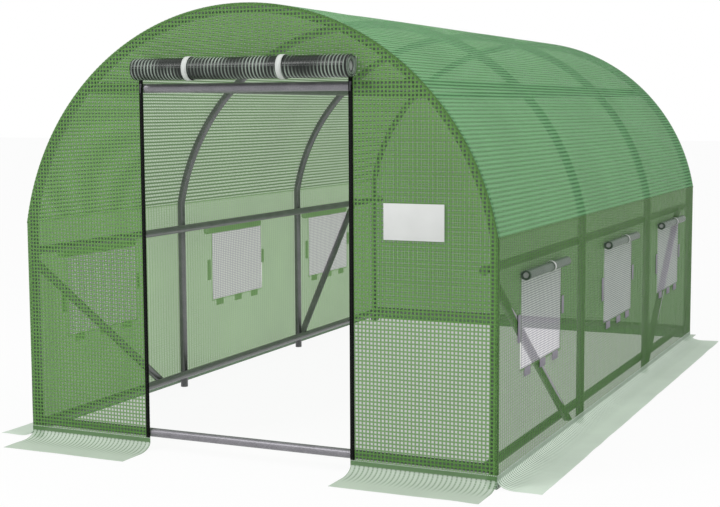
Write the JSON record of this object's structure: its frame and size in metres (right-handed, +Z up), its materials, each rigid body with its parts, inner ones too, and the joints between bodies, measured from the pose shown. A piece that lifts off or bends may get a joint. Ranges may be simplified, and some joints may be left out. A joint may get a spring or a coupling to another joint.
{
  "type": "polytunnel greenhouse",
  "caption": "Walk-in polytunnel greenhouse: round steel hoops, rails and braces under a reinforced film cover, with rolled-up door, roll-up side windows and ground skirts.",
  "frame": {"origin": "middle of the footprint on the ground", "axes": "+X across to the right seen from the door, +Y from the door to the back, +Z up"},
  "size_m": [2.7, 4.45, 2],
  "materials": {
    "steel_tube": "satin",
    "roof_film": "satin",
    "wall_film": "satin",
    "skirt_film": "satin",
    "zip_black": "matte",
    "rolled_film": "satin",
    "tie_webbing": "matte",
    "insect_net": "matte"
  },
  "bodies": {
    "root": {"hoop_front": "steel_tube", "hoop_inner_front": "steel_tube", "hoop_inner_back": "steel_tube", "hoop_back": "steel_tube", "mid_rails": "steel_tube", "base_rails": "steel_tube", "purlins": "steel_tube", "header_bars": "steel_tube", "base_bars": "steel_tube", "braces_left": "steel_tube", "braces_right": "steel_tube", "roof_cover_1": "roof_film", "roof_cover_2": "roof_film", "roof_cover_3": "roof_film", "roof_cover_4": "roof_film", "roof_cover_5": "roof_film", "roof_cover_6": "roof_film", "roof_cover_7": "roof_film", "roof_cover_8": "roof_film", "wall_left": "wall_film", "wall_right": "wall_film", "front_panel_left": "wall_film", "front_panel_right": "wall_film", "front_panel_top": "wall_film", "back_panel": "wall_film", "skirt_front_left": "skirt_film", "skirt_front_right": "skirt_film", "skirt_back": "skirt_film", "skirt_right": "skirt_film", "skirt_left": "skirt_film", "door_zips": "zip_black", "door_roll": "rolled_film", "window_rolls_left": "rolled_film", "window_rolls_right": "rolled_film", "door_ties": "tie_webbing", "window_nets_left": "insect_net", "window_nets_right": "insect_net"}
  },
  "joints": []
}
